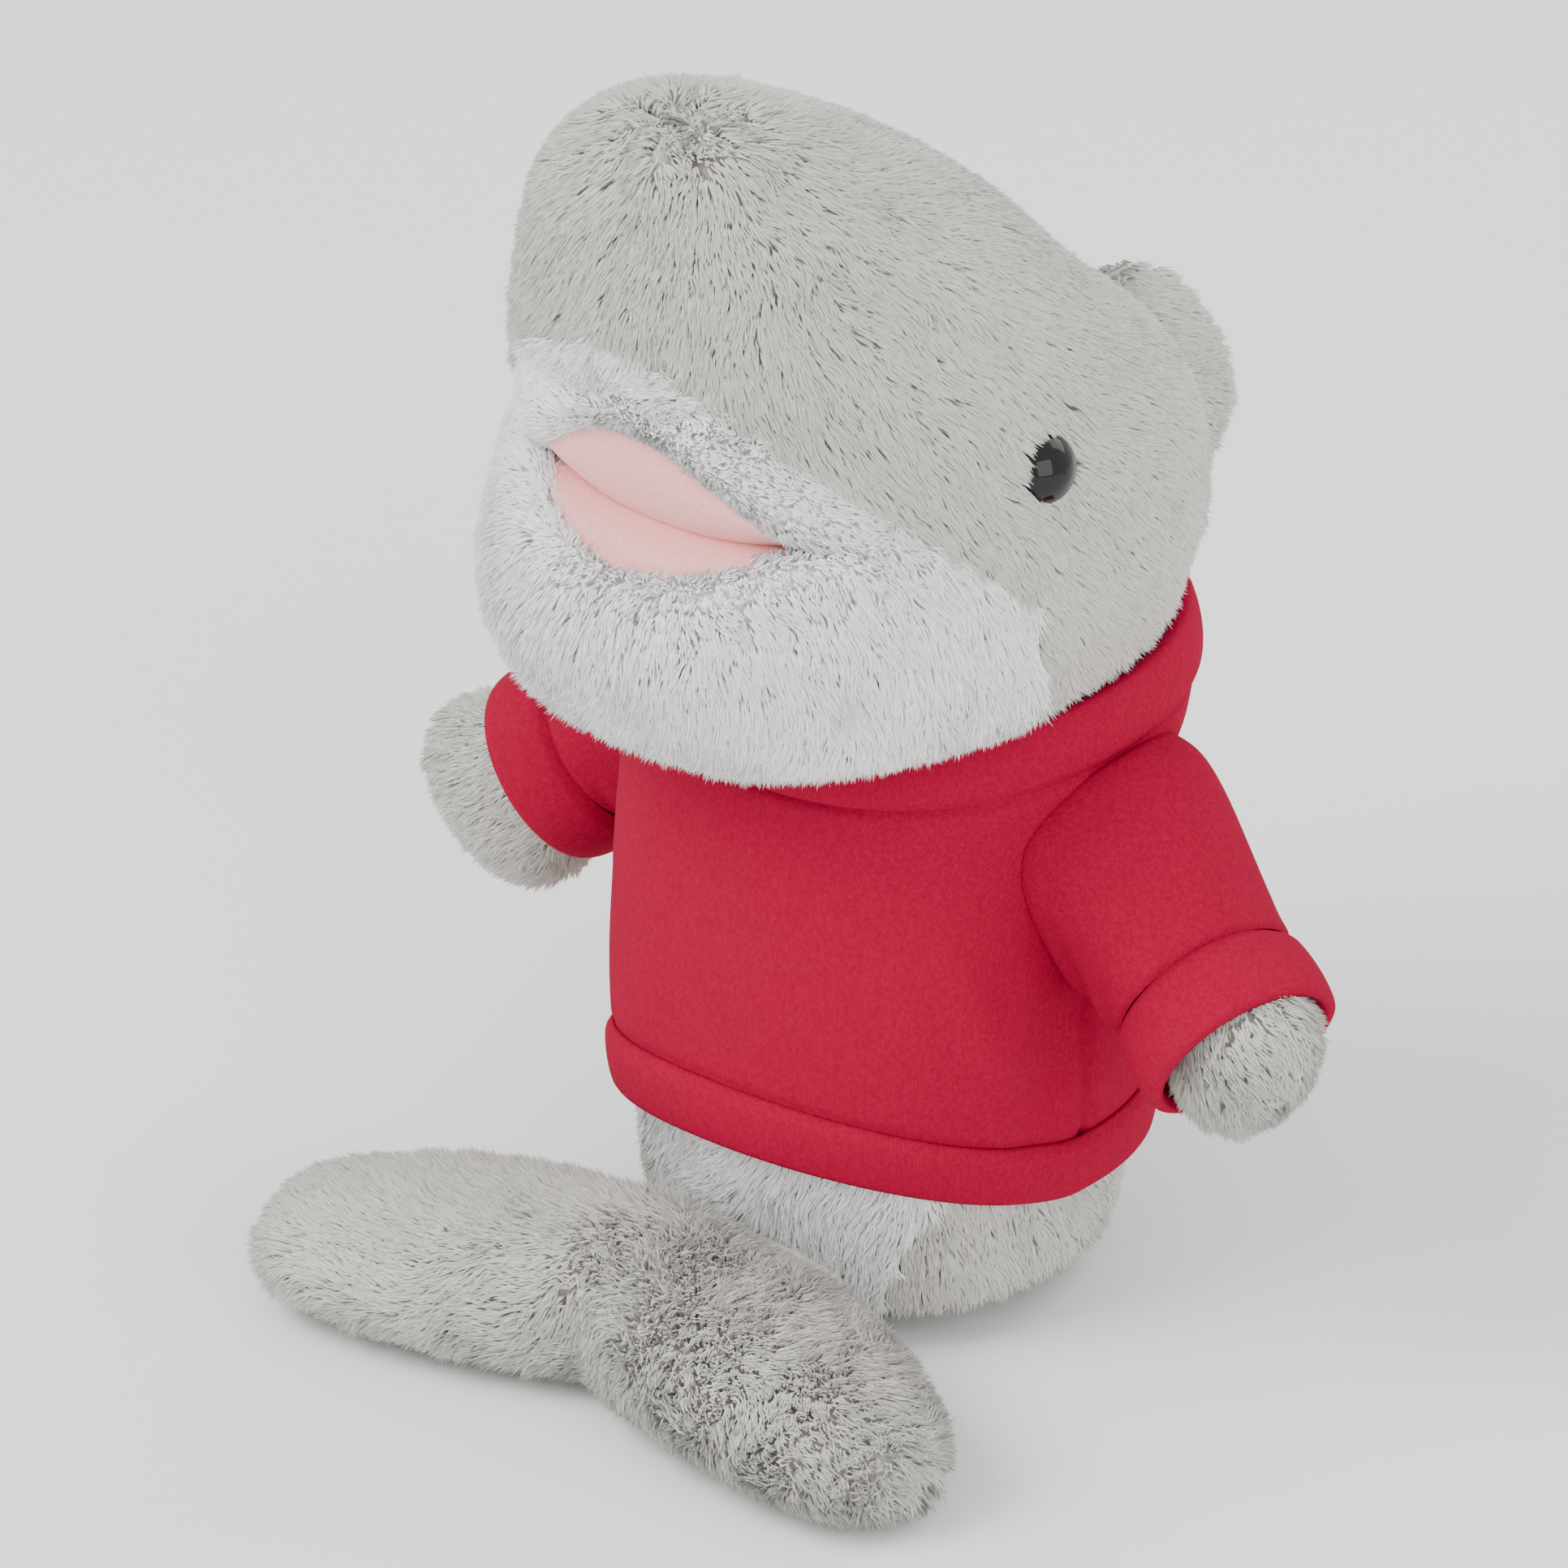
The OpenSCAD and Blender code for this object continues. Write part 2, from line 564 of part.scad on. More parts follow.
// Across the fluke from its middle to a tip: [distance from the middle, front y, rear y, height].
fluke_rings = [
    [0, -77, -42.5, fluke_root_h],
    [fluke_half_w * 0.2, -83.5, -42.7, fluke_root_h - 0.6],
    [fluke_half_w * 0.45, -88, -44, fluke_root_h - 2.5],
    [fluke_half_w * 0.7, -89.5, -50, fluke_root_h - 5.5],
    [fluke_half_w * 0.87, -87, -56, fluke_root_h - 9.5],
    [fluke_half_w * 0.97, -78.5, -61, fluke_root_h - 16],
    [fluke_half_w, -72, -66, fluke_root_h - 26]
];
fluke_wall = 4;
fluke_end = len(fluke_rings) - 1.1;
fluke_rest_z = 0.4;
function fluke_ring_point(t, angle) =
    let (ring = spline(fluke_rings, abs(t)),
         half_y = (ring[2] - ring[1]) / 2,
         half_z = ring[3] / 2)
    [sign(t) * ring[0], ring[1] + half_y - half_y * lift(cos(angle), plump),
     fluke_rest_z + half_z + (fluke_root_h - ring[3]) * 0.16 - half_z * lift(sin(angle), plump)];
fluke_skin = function (t, angle, depth)
    let (p = fluke_ring_point(t, angle),
         around = fluke_ring_point(t, angle + 1) - fluke_ring_point(t, angle - 1),
         along = fluke_ring_point(t + 0.02, angle) - fluke_ring_point(t - 0.02, angle))
    p - depth * unit(cross(around, along));
module tail_place() {
    middle = [0, -62, 0];
    translate(middle) rotate([0, 0, tail_turn]) translate(-middle) children();
}
module fluke_panel(first_angle) {
    place = function (u, v) [mix(-fluke_end, fluke_end, v), mix(first_angle, first_angle + 179, u)];
    color(fur_grey) tail_place() panel(fluke_skin, place, 10, 24, 0, fluke_wall);
}
module fluke_bottom_panel() fluke_panel(0.5);
module fluke_top_panel() fluke_panel(180.5);
module fluke_stuffing() {
    color(fill_white) tail_place() loft_solid([for (v = [0:20])
        [for (c = [0:17]) fluke_skin(mix(-fluke_end + 0.35, fluke_end - 0.35, v / 20), 20 * c, fluke_wall + 0.4)]]);
}

head_skin_left();
head_skin_right();
snout_gusset();
muzzle_panel();
mouth_roof();
head_stuffing();
left_eye();
right_eye();
left_eye_washer();
right_eye_washer();
nose_gather_stitch();
jaw_panel();
mouth_floor();
jaw_stuffing();
neck_stuffing();
dorsal_fin_left_panel();
dorsal_fin_right_panel();
dorsal_fin_stuffing();
body_back_panel();
belly_panel();
body_base_panel();
torso_stuffing();
bean_pouch();
shirt_front();
shirt_back();
collar_band();
hem_band();
left_sleeve();
left_cuff();
left_flipper_front_panel();
left_flipper_back_panel();
left_flipper_stuffing();
right_sleeve();
right_cuff();
right_flipper_front_panel();
right_flipper_back_panel();
right_flipper_stuffing();
fluke_top_panel();
fluke_bottom_panel();
fluke_stuffing();
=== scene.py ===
# The looks of a plush shark in a red knit shirt. It sits on z = 0, faces -Y, and its own left is +X.
# Lengths are in millimetres until mesh() turns them into metres, and angles are in degrees.
import math

import bpy
import numpy as np
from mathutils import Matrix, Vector, kdtree


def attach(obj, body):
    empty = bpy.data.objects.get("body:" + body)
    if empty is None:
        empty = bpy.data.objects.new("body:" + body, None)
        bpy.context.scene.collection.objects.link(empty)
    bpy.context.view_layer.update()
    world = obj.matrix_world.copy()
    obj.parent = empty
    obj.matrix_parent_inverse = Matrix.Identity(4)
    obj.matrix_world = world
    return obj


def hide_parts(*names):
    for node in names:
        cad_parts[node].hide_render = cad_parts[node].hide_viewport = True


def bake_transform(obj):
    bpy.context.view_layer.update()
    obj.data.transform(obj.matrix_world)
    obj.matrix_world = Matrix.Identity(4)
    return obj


MM = 0.001
PLUMP = 2 / 2.25
FUR_PER_CM2 = 560
STRANDS_PER_PIECE = 33000
STRANDS_PER_TUFT = 22
STRAND_HALF_W = 0.25
# A strand's points are its root (0), three about its middle (1 to 3) and its tip (4).
STRAND_POINTS = 5
STRAND_FACES = ([0, 2, 1], [0, 3, 2], [0, 1, 3], [4, 1, 2], [4, 2, 3], [4, 3, 1])

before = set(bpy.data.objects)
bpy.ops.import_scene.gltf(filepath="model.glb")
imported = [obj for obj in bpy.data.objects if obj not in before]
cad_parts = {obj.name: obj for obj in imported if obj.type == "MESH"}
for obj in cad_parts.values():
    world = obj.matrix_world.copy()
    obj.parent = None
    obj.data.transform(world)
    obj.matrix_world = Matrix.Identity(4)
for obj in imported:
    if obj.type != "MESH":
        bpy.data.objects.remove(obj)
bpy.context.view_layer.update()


# ---- Curves and skins ----------------------------------------------------------------------

def unit(v):
    return v / np.maximum(np.linalg.norm(v, axis=-1, keepdims=True), 1e-9)


def mix(a, b, s):
    return a + (b - a) * s


def smooth(a, b, s):
    k = np.clip((s - a) / (b - a), 0, 1)
    return k * k * (3 - 2 * k)


def lift(s):
    return np.sign(s) * np.abs(s) ** PLUMP


def sind(a):
    return np.sin(np.radians(a))


def cosd(a):
    return np.cos(np.radians(a))


def spline(rows, t):
    """Catmull-Rom spline through rows, at every value of t."""
    rows = np.array(rows, float)
    last = len(rows) - 1
    i = np.clip(np.floor(t), 0, last - 1).astype(int)
    s = (t - i)[..., None]
    a, b, c, d = (rows[np.clip(i + k, 0, last)] for k in (-1, 0, 1, 2))
    square = 2 * a - 5 * b + 4 * c - d
    cube = 3 * b - a - 3 * c + d
    return 0.5 * (2 * b + (c - a) * s + square * s ** 2 + cube * s ** 3)


def spline_at(rows, value):
    """Where along the spline its first component reaches value."""
    t = np.linspace(0, len(rows) - 1, 4000)
    return np.interp(value, spline(rows, t)[:, 0], t)


def ring_point(rows, t, angle):
    """A point of a skin made of rings [z, centre y, half length, half width]; angle 0 is the front."""
    t, angle = np.broadcast_arrays(t, angle)
    r = spline(rows, t)
    x = r[..., 3] * lift(sind(angle))
    y = r[..., 1] - r[..., 2] * lift(cosd(angle))
    return np.stack([x, y, r[..., 0]], -1)


def inward(point, t, angle, depth):
    """point(t, angle), moved inward along the skin's normal by depth."""
    along = point(t, angle + 1) - point(t, angle - 1)
    up = point(t + 0.02, angle) - point(t - 0.02, angle)
    return point(t, angle) - np.asarray(depth)[..., None] * unit(np.cross(along, up))


def waves(p, size, seed):
    """A smooth random vector for each point, which changes over about size millimetres."""
    rng = np.random.default_rng(seed)
    out = np.zeros(p.shape)
    for _ in range(6):
        k = rng.normal(size=3) / size
        phase = (p @ k) * 2 + rng.uniform(0, 6.28)
        out += np.sin(phase)[..., None] * rng.normal(size=3)
    return out / 2.5


# ---- Meshes --------------------------------------------------------------------------------

def mesh(name, points, faces, uvs=None, normals=None):
    """A mesh object from points in millimetres. uvs has one row for each point."""
    data = bpy.data.meshes.new(name)
    count = len(faces)
    corners = faces.shape[1]
    data.vertices.add(len(points))
    data.vertices.foreach_set("co", (np.asarray(points) * MM).astype(np.float32).ravel())
    data.loops.add(count * corners)
    data.loops.foreach_set("vertex_index", faces.astype(np.int32).ravel())
    data.polygons.add(count)
    data.polygons.foreach_set("loop_start", np.arange(0, count * corners, corners, dtype=np.int32))
    data.polygons.foreach_set("use_smooth", np.ones(count, dtype=bool))
    if uvs is not None:
        layer = data.uv_layers.new(name="OFBake" if normals is not None else "Cloth")
        layer.data.foreach_set("uv", uvs[faces.ravel()].astype(np.float32).ravel())
    data.update(calc_edges=True)
    data.validate()
    if normals is not None:
        data.normals_split_custom_set_from_vertices(normals.tolist())
    obj = bpy.data.objects.new(name, data)
    bpy.context.scene.collection.objects.link(obj)
    return obj


def grid_faces(rows, cols):
    a = (np.arange(rows - 1)[:, None] * cols + np.arange(cols - 1)).ravel()
    return np.stack([a, a + 1, a + cols + 1, a + cols], 1)


def grid_normals(p):
    return unit(np.cross(np.gradient(p, axis=1), np.gradient(p, axis=0)))


def facing_out(grids):
    """The grids, turned over where the first one's normals face its own middle."""
    first = grids[0]
    middle = first.reshape(-1, 3).mean(0)
    if np.sum(grid_normals(first) * (first - middle)) < 0:
        return [g[:, ::-1] for g in grids]
    return grids


def grid(place, cols, rows):
    """Points place(u, v) for u and v from 0 to 1, as an array of rows and columns."""
    u, v = np.meshgrid(np.linspace(0, 1, cols), np.linspace(0, 1, rows))
    return place(u, v)


def cloth(name, body, material, grids, thick=0.0):
    """One piece of cloth from one or more grids of points, with thickness on its inner side."""
    points, faces, uvs, base = [], [], [], 0
    for g in facing_out(grids):
        rows, cols = g.shape[:2]
        u = np.concatenate([[0], np.cumsum(np.linalg.norm(np.diff(g[rows // 2], axis=0), axis=1))])
        v = np.concatenate([[0], np.cumsum(np.linalg.norm(np.diff(g[:, cols // 2], axis=0), axis=1))])
        points.append(g.reshape(-1, 3))
        faces.append(grid_faces(rows, cols) + base)
        uvs.append(np.stack(np.meshgrid(u, v), -1).reshape(-1, 2))
        base += rows * cols
    obj = mesh(name, np.concatenate(points), np.concatenate(faces), np.concatenate(uvs))
    obj.data.materials.append(material)
    if thick:
        solid = obj.modifiers.new("Thickness", "SOLIDIFY")
        solid.thickness = thick * MM
        solid.offset = -1
        solid.use_even_offset = False
    if body:
        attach(obj, body)
    return obj


def fur(name, body, material, grids, length, comb, seed, keep=None, trim=None):
    """Short pile as real strands, combed along comb(points) and drawn together into small tufts."""
    rng = np.random.default_rng(seed)
    corners, normals = [], []
    for g in facing_out(grids):
        n = grid_normals(g).reshape(-1, 3)
        p = g.reshape(-1, 3)
        q = grid_faces(*g.shape[:2])
        tris = np.concatenate([q[:, [0, 1, 2]], q[:, [0, 2, 3]]])
        corners.append(p[tris])
        normals.append(n[tris])
    corners, normals = np.concatenate(corners), np.concatenate(normals)
    edges = corners[:, 1:] - corners[:, :1]
    area = np.linalg.norm(np.cross(edges[:, 0], edges[:, 1]), axis=1) / 2
    count = int(area.sum() / 100 * FUR_PER_CM2)
    pick = rng.choice(len(area), count, p=area / area.sum())
    w = rng.dirichlet((1, 1, 1), count)
    root = np.einsum("ij,ijk->ik", w, corners[pick])
    normal = unit(np.einsum("ij,ijk->ik", w, normals[pick]))
    if keep is not None:
        chosen = keep(root)
        root, normal = root[chosen], normal[chosen]
        count = len(root)
    lean = comb(root) + 0.22 * waves(root, 9, seed + 1) + 0.22 * waves(root, 3.5, seed + 2)
    lean += 0.22 * rng.normal(size=root.shape)
    lean -= np.sum(lean * normal, 1, keepdims=True) * normal
    lean = lean / np.maximum(np.linalg.norm(lean, axis=1, keepdims=True), 1)
    long = length * rng.uniform(0.72, 1.1, (count, 1))
    if trim is not None:
        long = long * trim(root)[:, None]
    start = unit(normal + 0.4 * lean)
    end = unit(normal * 0.8 + 1.5 * lean)
    middle = root + 0.45 * long * start
    tip = middle + 0.55 * long * end
    leaders = rng.choice(count, max(1, count // STRANDS_PER_TUFT), replace=False)
    tree = kdtree.KDTree(len(leaders))
    for i, k in enumerate(leaders):
        tree.insert(root[k], i)
    tree.balance()
    near = np.array([tree.find(p)[1] for p in root])
    pull = 0.42 * rng.uniform(0.5, 1, (count, 1))
    tip += pull * (tip[leaders[near]] - tip)
    middle += 0.35 * pull * (middle[leaders[near]] - middle)
    side = unit(np.cross(tip - root, normal) + 0.5 * rng.normal(size=root.shape) * long / 4)
    half = STRAND_HALF_W * rng.uniform(0.7, 1.3, (count, 1))
    tuft_tint = rng.uniform(0, 1, len(leaders))[near]
    patch_tint = 0.5 + 0.5 * waves(root, 12, seed + 3)[:, 0]
    tint = np.clip(0.4 * tuft_tint + 0.3 * patch_tint + 0.3 * rng.uniform(0, 1, count), 0.01, 0.99)
    other = unit(np.cross(tip - root, side))
    points = np.stack([root, middle + side * half, middle + (0.87 * other - 0.5 * side) * half,
                       middle - (0.87 * other + 0.5 * side) * half, tip], 1)
    points[..., 2] = np.maximum(points[..., 2], 0.2)
    soft = unit(normal + 0.35 * unit(tip - root) + 0.25 * side * rng.normal(size=(count, 1)))
    for first in range(0, count, STRANDS_PER_PIECE):
        piece = slice(first, first + STRANDS_PER_PIECE)
        n = len(points[piece])
        base = (np.arange(n) * STRAND_POINTS)[:, None]
        tris = np.concatenate([base + face for face in STRAND_FACES])
        u = np.repeat(tint[piece], STRAND_POINTS)
        # V runs from root to tip; the fur material paints shade at the root end.
        v = np.tile([0.02, 0.5, 0.5, 0.5, 0.98], n)
        shading = np.repeat(soft[piece], STRAND_POINTS, axis=0)
        number = first // STRANDS_PER_PIECE + 1
        obj = mesh(f"{name}_{number}", points[piece].reshape(-1, 3), tris, np.stack([u, v], 1), shading)
        obj.data.materials.append(material)
        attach(obj, body)


# ---- Materials -----------------------------------------------------------------------------

def new_material(name, roughness, sheen=0.0, shine=0.5):
    material = bpy.data.materials.new(name)
    material.use_nodes = True
    shader = material.node_tree.nodes["Principled BSDF"]
    shader.inputs["Roughness"].default_value = roughness
    shader.inputs["Sheen Weight"].default_value = sheen
    shader.inputs["Specular IOR Level"].default_value = shine
    return material, material.node_tree, shader


def ramp(tree, stops):
    node = tree.nodes.new("ShaderNodeValToRGB")
    for i, (place, colour) in enumerate(stops):
        stop = node.color_ramp.elements[i] if i < 2 else node.color_ramp.elements.new(place)
        stop.position = place
        stop.color = (*colour, 1)
    return node


def fur_material(name, root, tip, spread):
    """Colour runs from a darker root to a lighter tip along each strand (V), as painted shade deep in the
    pile. It also differs a little from tuft to tuft (U).
    """
    material, tree, shader = new_material(name, 0.85, sheen=0.25)
    where = tree.nodes.new("ShaderNodeUVMap")
    where.uv_map = "OFBake"
    parts = tree.nodes.new("ShaderNodeSeparateXYZ")
    tree.links.new(where.outputs["UV"], parts.inputs[0])
    # Painted shade: this ramp makes each strand darker at its root than at its tip.
    along = ramp(tree, [(0.0, root), (1.0, tip), (0.55, [mix(a, b, 0.75) for a, b in zip(root, tip)])])
    tree.links.new(parts.outputs["Y"], along.inputs["Fac"])
    tone = ramp(tree, [(0.0, (spread,) * 3), (1.0, (1, 1, 1))])
    tree.links.new(parts.outputs["X"], tone.inputs["Fac"])
    both = tree.nodes.new("ShaderNodeMix")
    both.data_type = "RGBA"
    both.blend_type = "MULTIPLY"
    both.inputs["Factor"].default_value = 1
    tree.links.new(along.outputs["Color"], both.inputs[6])
    tree.links.new(tone.outputs["Color"], both.inputs[7])
    tree.links.new(both.outputs[2], shader.inputs["Base Color"])
    return material


def cloth_material(name, dark, light, grain, bump, roughness=0.85, sheen=0.2, ribs=0.0, shine=0.5):
    """Woven, knitted or napped cloth: two tones of noise, with a fine bump and, for a knit, its ribs."""
    material, tree, shader = new_material(name, roughness, sheen, shine)
    where = tree.nodes.new("ShaderNodeTexCoord")
    noise = tree.nodes.new("ShaderNodeTexNoise")
    noise.inputs["Scale"].default_value = grain
    noise.inputs["Detail"].default_value = 4
    tree.links.new(where.outputs["Object"], noise.inputs["Vector"])
    tone = ramp(tree, [(0.3, dark), (0.7, light)])
    tree.links.new(noise.outputs["Fac"], tone.inputs["Fac"])
    tree.links.new(tone.outputs["Color"], shader.inputs["Base Color"])
    height = noise.outputs["Fac"]
    if ribs:
        wave = tree.nodes.new("ShaderNodeTexWave")
        wave.wave_profile = "SIN"
        wave.inputs["Scale"].default_value = ribs
        wave.inputs["Distortion"].default_value = 1.2
        wave.inputs["Detail Scale"].default_value = 3
        tree.links.new(where.outputs["UV"], wave.inputs["Vector"])
        total = tree.nodes.new("ShaderNodeMath")
        total.operation = "ADD"
        tree.links.new(noise.outputs["Fac"], total.inputs[0])
        tree.links.new(wave.outputs["Fac"], total.inputs[1])
        height = total.outputs[0]
    relief = tree.nodes.new("ShaderNodeBump")
    relief.inputs["Strength"].default_value = bump
    relief.inputs["Distance"].default_value = 0.0004
    tree.links.new(height, relief.inputs["Height"])
    tree.links.new(relief.outputs["Normal"], shader.inputs["Normal"])
    return material


# Each fur's root colour is darker than its tip, as painted shade deep in the pile.
GREY_FUR = fur_material("grey fur", root=(0.55, 0.535, 0.48), tip=(0.69, 0.67, 0.605), spread=0.88)
WHITE_FUR = fur_material("white fur", root=(0.9, 0.89, 0.87), tip=(0.98, 0.975, 0.965), spread=0.97)
GREY_BACKING = cloth_material("grey backing", (0.5, 0.485, 0.43), (0.56, 0.545, 0.49), grain=900, bump=0.3)
WHITE_BACKING = cloth_material("white backing", (0.88, 0.87, 0.85), (0.92, 0.91, 0.89), grain=900, bump=0.3)
PINK_NAP = cloth_material("pink nap", (0.78, 0.34, 0.33), (0.86, 0.42, 0.4), grain=1400, bump=0.45)
RED_KNIT = cloth_material("red knit", (0.34, 0.002, 0.03), (0.42, 0.004, 0.04), grain=1300, bump=0.6,
                          roughness=0.95, sheen=0.0, ribs=0.9, shine=0.08)
FILLING = cloth_material("fibre filling", (0.75, 0.74, 0.7), (0.9, 0.89, 0.85), grain=300, bump=1.0)
POUCH = cloth_material("pouch cloth", (0.5, 0.4, 0.26), (0.6, 0.5, 0.34), grain=700, bump=0.6)
THREAD = cloth_material("grey thread", (0.1, 0.1, 0.09), (0.2, 0.2, 0.18), grain=2500, bump=0.8)
BLACK_GLASS = cloth_material("eye black", (0.004, 0.004, 0.005), (0.012, 0.011, 0.012), grain=60, bump=0.0,
                             roughness=0.06, sheen=0.0, shine=0.3)
WHITE_PLASTIC = cloth_material("washer white", (0.75, 0.75, 0.73), (0.82, 0.82, 0.8), grain=150, bump=0.05,
                               roughness=0.4, sheen=0.0)


# ---- Head ----------------------------------------------------------------------------------

# Rings from the neck to the nose: [z, centre y, half length, half width].
HEAD = [[100, 5, 33, 34], [106, 2.5, 38, 37.5], [114, -1, 45, 41.5], [121, -5, 53, 46.5],
        [137, -10, 64.5, 51], [152, -9.5, 62, 51], [166, -11.5, 55.5, 49], [180, -19.5, 47.5, 45.5],
        [195, -27, 40.5, 40.5], [209, -35, 31.5, 34], [220, -43, 20.5, 23.5], [226.5, -48, 10.5, 12],
        [229, -50, 2, 2.5]]
# The chin is fuller than the head's own rings below the mouth, and shares them from there up.
CHIN = [[100, 1, 33, 34], [106, 1, 45, 40], [114, -3, 54, 45], [123, -7, 60.5, 50], *HEAD[4:10]]
HEAD_END = len(HEAD) - 1.3
BACKING_DEPTH = 3.6
REAR_TUCK = 1.0
JAW_ANGLE = 84
CORNER_ANGLE = 49
CORNER_Z = 160.5
HINGE_Z = 140
UPPER_LIP_Z = 174.5
LOWER_LIP_Z = 151
CREASE_Z = 161
LIP_ROLL = 4.5
TUCK = 3.0
NOSE = np.array([0, -50, 226.0])
MOUTH = np.array([0, -58, 164.0])
MOUTH_REACH = np.array([40, 40, 15])
EYE = np.array([50.0, -10.0, 166.0])
EYE_R = 5.2


def mouth_seam_z(angle):
    return mix(CORNER_Z, HINGE_Z, (np.abs(angle) - CORNER_ANGLE) / (JAW_ANGLE - CORNER_ANGLE))


def lip_z(angle, middle_z):
    inside = mix(middle_z, CORNER_Z, smooth(0, CORNER_ANGLE, np.abs(angle)) ** 0.9)
    return np.where(np.abs(angle) < CORNER_ANGLE, inside, mouth_seam_z(angle))


def upper_lip_z(angle):
    return lip_z(angle, UPPER_LIP_Z)


def lower_lip_z(angle):
    return lip_z(angle, LOWER_LIP_Z)


def muzzle_top_z(angle):
    return mix(192, HINGE_Z + 4, (np.abs(angle) / JAW_ANGLE) ** 1.5)


def head_low_z(angle):
    """The lower edge of the head's sides and back, which rests on the collar."""
    side = np.abs(((angle + 180) % 360) - 180)
    return mix(114.5, 110, smooth(JAW_ANGLE, 150, side))


def chin_low_z(angle):
    return mix(110.5, 117.5, smooth(12, 76, np.abs(angle)))


def head_point(z, angle, depth, rings=HEAD):
    """A point of the head's backing cloth, with the gathers at the nose."""
    def skin(t, angle):
        return ring_point(rings, t, angle)

    t = spline_at(rings, z)
    p = inward(skin, t, angle, depth + BACKING_DEPTH)
    away = p - NOSE
    r = np.linalg.norm(away, axis=-1)
    turn = np.arctan2(away[..., 0], -away[..., 1])
    gather = np.exp(-(r / 5) ** 2) * 2.4 + 1.2 * np.cos(7 * turn) * np.exp(-((r - 9) / 6) ** 2)
    ridge = -2.2 * np.exp(-((away[..., 0] - 14) / 11) ** 2 - ((away[..., 2] + 5) / 3.5) ** 2)
    back = inward(skin, t, angle, depth + BACKING_DEPTH + 1)
    return p + (gather + ridge)[..., None] * unit(back - p)


def band(rings, low, high, first, last, tuck=0.0):
    """Head cloth between two heights that depend on the angle."""
    def place(u, v):
        angle = mix(first, last, u)
        z = mix(low(angle), high(angle), v)
        return head_point(z, angle, tuck * (1 - smooth(0, 9, z - low(angle))), rings)
    return place


def underside(rings, low, first, last, tuck):
    """Head cloth that turns in under the head from its lower edge towards the neck."""
    def place(u, v):
        angle = mix(first, last, u)
        edge = head_point(low(angle), angle, tuck, rings)
        inner = edge * [0.7, 0.7, 1] + [0, 1.5, -1.5]
        return mix(inner, edge, np.asarray(v)[..., None])
    return place


def lip_room(angle):
    """How much of the height beside a lip its rolled edge takes."""
    return LIP_ROLL * smooth(CORNER_ANGLE + 8, CORNER_ANGLE - 6, np.abs(angle)) - 0.1


def rolled_lip(rings, edge, side):
    """The lip's edge, turned inward. side is 1 for the lower lip and -1 for the upper one."""
    def place(u, v):
        angle = mix(-JAW_ANGLE, JAW_ANGLE, u)
        turn = mix(0, 110, v if side > 0 else 1 - v)
        roll = LIP_ROLL * smooth(CORNER_ANGLE + 8, CORNER_ANGLE - 6, np.abs(angle)) + 0.3
        z = edge(angle) - side * (roll * (1 - sind(turn)) - 0.4)
        return head_point(z, angle, roll * (1 - cosd(turn)), rings)
    return place


def behind_seam(side):
    """White cloth behind the seam beside the mouth, which is seen when the jaw opens."""
    def place(u, v):
        angle = side * mix(CORNER_ANGLE - 8, JAW_ANGLE + 4, u)
        return head_point(mouth_seam_z(angle) + mix(-9, 5, v), angle, 2.2 + 1.5 * (1 - v), CHIN)
    return place


def mouth_back(u, v):
    """Pink lining across the back of the mouth."""
    angle = mix(-CORNER_ANGLE, CORNER_ANGLE, u)
    return head_point(mix(148, 172, v), angle, 15 + 4 * np.sin(np.pi * v), CHIN)


def lip_pad(edge, side):
    """Pink lining that swells from behind one lip to the crease and then runs inward."""
    def place(u, v):
        angle = mix(-CORNER_ANGLE - 3, CORNER_ANGLE + 3, u)
        open_share = 1 - smooth(0, CORNER_ANGLE + 2, np.abs(angle))
        crease = mix(CORNER_Z, CREASE_Z, open_share)
        lip = edge(angle) + side * (LIP_ROLL * 0.2 + 1.0)
        z = mix(lip, crease - side * 0.25, smooth(0, 0.7, v)) + side * 3 * smooth(0.7, 1, v)
        swell = np.sin(np.pi * np.clip(v / 0.7, 0, 1)) ** 0.8
        height = (3.4 if side > 0 else 1.6) * swell * open_share ** 0.4
        depth = 5.2 - height + 5 * smooth(0.35, 0.7, v) + 12 * smooth(0.7, 1, v)
        return head_point(z, angle, depth, CHIN)
    return place


def grey_head_comb(p):
    """The pile runs from the nose down the face and back over the head."""
    away = p - (NOSE + [0, 0, 6])
    return unit(away) * 0.9 + [0, 0.15, -0.25]


def short_at_lips(p):
    """The pile is sheared short around the mouth."""
    away = np.linalg.norm((p - MOUTH) / MOUTH_REACH, axis=1)
    return mix(0.5, 1, smooth(0.8, 1.6, away))


def muzzle_comb(p):
    """The pile of the muzzle and the chin runs away from the mouth, and downward farther off."""
    away = unit((p - MOUTH) * [1, 0.6, 1.5])
    near = 1 - smooth(0.8, 1.8, np.linalg.norm((p - MOUTH) / MOUTH_REACH, axis=1))[:, None]
    return mix([0, -0.1, -0.8], 0.9 * away, near)


def short_at_nose(p):
    """The pile is caught down where the nose is gathered."""
    return mix(0.3, 1, smooth(2, 8, np.linalg.norm(p - NOSE, axis=1)))


def clear_of_eyes(p):
    """False where an eye covers the cloth."""
    side = np.abs(p) * [1, 0, 0] + p * [0, 1, 1]
    return np.linalg.norm(side - EYE, axis=1) > EYE_R


def face_top_z(angle):
    """Where the face ends and the tip of the nose begins, at every angle alike."""
    return np.full(np.shape(angle), spline(HEAD, np.array([HEAD_END]))[0, 0])


def nose_tip(u, v):
    return head_point(mix(face_top_z(u), HEAD[-1][0] - 0.02, v), 360 * u, 0)


def above_lip(angle):
    return upper_lip_z(angle) + lip_room(angle)


def below_lip(angle):
    return lower_lip_z(angle) - lip_room(angle)


